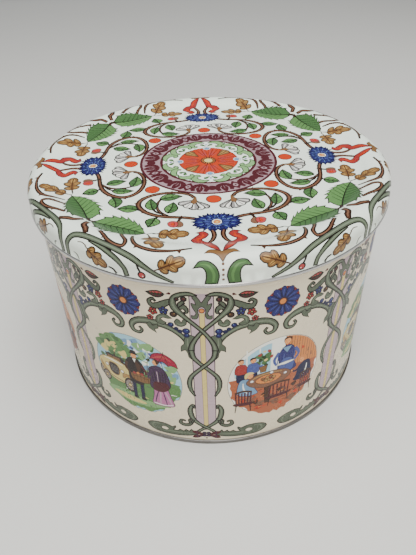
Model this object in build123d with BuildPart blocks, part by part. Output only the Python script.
"""Round tinplate cookie tin: a drum of rolled sheet with a side seam, a bottom seamed on, and a push-on lid.

Millimetres, +Z up. The origin is the centre of the rim that the tin stands on. The side seam is at +Y.
"""

import os
from math import acos, cos, degrees, radians, sin, sqrt

from build123d import *

# --- Driving sizes ---------------------------------------------------------------------------
sheet = 0.28  # tinplate, the same for all three pieces
drum_radius = 102.0  # outside of the printed wall
drum_height = 138.2  # floor to the top of the drum's rolled edge

rim_curl_radius = 1.5  # outside radius of the drum's inward-rolled top edge
lid_curl_radius = 1.6  # outside radius of the lid's inward-rolled hem
curl_turn = 290.0  # degrees that each rolled edge turns through

lid_gap = 0.3  # lid to drum, both where it slides and where it seats
lid_depth = 15.9  # crest of the lid to the bottom of its hem
hem_proud = 0.4  # how far the hem stands out from the skirt
shoulder_radius = 7.3  # outside radius between the lid's crest and its skirt
panel_drop = 3.6  # crest down to the flat panel on top
slope_width = 15.0  # radial width of the slope between panel and crest

stop_bead_height = 4.0  # the swaged bead that the lid comes down to
stop_bead_proud = 0.7

seam_gap = 0.03  # between the folded layers of the bottom seam
seam_height = 3.0
hook_end_gap = 0.3  # from the end of each hook to the fold it sits in
seam_corner = 0.45  # outside corner radius of the seam
hook_fold_gap = 0.07  # from the bend of the drum's hook to the fold that it sits in
base_recess = 3.2  # floor to the underside of the bottom panel
base_corner = 1.0
base_bead_radius = 78.0  # pitch radius of the stiffening ring in the bottom
base_bead_width = 6.0
base_bead_depth = 1.0

side_lap_width = 5.0  # folded side seam inside the drum
side_lap_thickness = 0.5
side_groove_width = 0.5  # the line it leaves outside
side_groove_depth = 0.12
side_lap_margin = 1.5  # from the rolled edge and from the bottom seam

# --- Sizes that follow -----------------------------------------------------------------------
lid_curl_centre_r = drum_radius + lid_gap + lid_curl_radius
hem_radius = lid_curl_centre_r + lid_curl_radius
skirt_radius = hem_radius - hem_proud
crest_radius = skirt_radius - shoulder_radius
panel_radius = crest_radius - slope_width

rim_curl_centre = (drum_radius - rim_curl_radius, drum_height - rim_curl_radius)
# The inside of the shoulder seats on the rolled edge: curl centre, shoulder centre and gap make a triangle.
seat_reach = shoulder_radius - sheet - lid_gap - rim_curl_radius
shoulder_centre_z = rim_curl_centre[1] - sqrt(seat_reach**2 - (rim_curl_centre[0] - crest_radius) ** 2)
crest_z = shoulder_centre_z + shoulder_radius
panel_z = crest_z - panel_drop
hem_z = crest_z - lid_depth
lid_curl_centre_z = hem_z + lid_curl_radius
stop_bead_z = hem_z - lid_gap - stop_bead_height

# Radii of the bottom seam's layers, from the drum wall outwards.
base_hook_r = drum_radius + seam_gap
drum_hook_r = base_hook_r + sheet + seam_gap
seam_radius = drum_hook_r + 2 * sheet + seam_gap
chuck_radius = drum_radius - 2 * sheet - seam_gap
hook_bend_radius = (drum_hook_r - drum_radius) / 2
hook_bend = 2 * sheet + hook_fold_gap + hook_bend_radius  # height of the bend's centre


def swell(start, width, height, along):
    """Two tangent arcs from start that run width one way and height the other, straight at both ends."""
    step = Vector(*along) * width + Vector(-along[1], along[0]) * height
    middle = Vector(*start) + step / 2
    first = TangentArc(start, middle, tangent=along)
    return TangentArc(middle, Vector(*start) + step, tangent=first % 1)


def wall_line(bottom, top):
    """The outside of the drum's wall from one height to another, with the stop bead in it."""
    half = stop_bead_height / 2
    Line((drum_radius, bottom), (drum_radius, stop_bead_z))
    out = swell((drum_radius, stop_bead_z), half, -stop_bead_proud, (0, 1))
    back = swell(out @ 1, half, stop_bead_proud, (0, 1))
    return Line(back @ 1, (drum_radius, top))


def side_plane(width):
    """An upright plane through the axis, turned half of width clockwise from the side seam."""
    start = radians(90) - width / drum_radius / 2
    return Plane(origin=(0, 0, 0), x_dir=(cos(start), sin(start), 0), z_dir=(sin(start), -cos(start), 0))


def drum_wall():
    """The rolled body: flange hooked into the bottom seam, wall, stop bead, rolled top edge and side seam."""
    lap_ends = (seam_height + side_lap_margin, rim_curl_centre[1] - rim_curl_radius - side_lap_margin)
    with BuildPart() as wall:
        with BuildSketch(Plane.XZ):
            with BuildLine():
                Line((drum_hook_r, seam_height - sheet - hook_end_gap), (drum_hook_r, hook_bend))
                RadiusArc((drum_hook_r, hook_bend), (drum_radius, hook_bend), hook_bend_radius)
                wall_line(hook_bend, rim_curl_centre[1])
                CenterArc(rim_curl_centre, rim_curl_radius, 0, curl_turn)
                offset(amount=sheet, side=Side.LEFT)
            make_face()
        revolve(axis=Axis.Z)
        with BuildSketch(side_plane(side_lap_width)):
            with BuildLine():
                wall_line(*lap_ends)
                offset(amount=sheet + side_lap_thickness, side=Side.LEFT)
            make_face()
        revolve(axis=Axis.Z, revolution_arc=degrees(side_lap_width / drum_radius))
        with BuildSketch(side_plane(side_groove_width)):
            with BuildLine():
                wall_line(*lap_ends)
                offset(amount=side_groove_depth, side=Side.LEFT)
            make_face()
        revolve(axis=Axis.Z, revolution_arc=degrees(side_groove_width / drum_radius), mode=Mode.SUBTRACT)
    wall.part.label = "drum_wall"
    export_step(wall.part, "parts/drum_wall.step")


def drum_bottom():
    """The bottom: a recessed panel with a stiffening ring, and the edge folded round the drum's flange."""
    half = base_bead_width / 2
    ring_start = (base_bead_radius - half, base_recess)
    with BuildPart() as bottom:
        with BuildSketch(Plane.XZ):
            with BuildLine():
                Line((0, base_recess), ring_start)
                up = swell(ring_start, half, base_bead_depth, (1, 0))
                down = swell(up @ 1, half, -base_bead_depth, (1, 0))
                FilletPolyline(
                    down @ 1,
                    (chuck_radius, base_recess),
                    (chuck_radius, 0),
                    (seam_radius, 0),
                    (seam_radius, seam_height),
                    (base_hook_r, seam_height),
                    (base_hook_r, hook_bend + hook_end_gap / 2),
                    radius=(base_corner, seam_corner, seam_corner, seam_corner, sheet + seam_gap),
                )
                offset(amount=sheet, side=Side.LEFT)
            make_face()
        revolve(axis=Axis.Z)
    bottom.part.label = "drum_bottom"
    export_step(bottom.part, "parts/drum_bottom.step")


def lid_shell():
    """The drawn lid: flat panel, slope, crest, shoulder, skirt and rolled hem."""
    hem_start = degrees(acos((skirt_radius - lid_curl_centre_r) / lid_curl_radius))
    skirt_bottom = lid_curl_centre_z + lid_curl_radius * sin(radians(hem_start))
    with BuildPart() as lid:
        with BuildSketch(Plane.XZ):
            with BuildLine():
                Line((0, panel_z), (panel_radius, panel_z))
                swell((panel_radius, panel_z), slope_width, panel_drop, (1, 0))
                RadiusArc((crest_radius, crest_z), (skirt_radius, shoulder_centre_z), shoulder_radius)
                Line((skirt_radius, shoulder_centre_z), (skirt_radius, skirt_bottom))
                CenterArc((lid_curl_centre_r, lid_curl_centre_z), lid_curl_radius, hem_start, -curl_turn)
                offset(amount=sheet, side=Side.RIGHT)
            make_face()
        revolve(axis=Axis.Z)
    lid.part.label = "lid"
    export_step(lid.part, "parts/lid.step")


os.makedirs("parts", exist_ok=True)
drum_wall()
drum_bottom()
lid_shell()
print(f"lid crest {crest_z:.2f}, panel {panel_z:.2f}, hem {hem_z:.2f}, hem radius {hem_radius:.2f}")
print(f"panel radius {panel_radius:.2f}, seam radius {seam_radius:.2f}, bead from {stop_bead_z:.2f}")
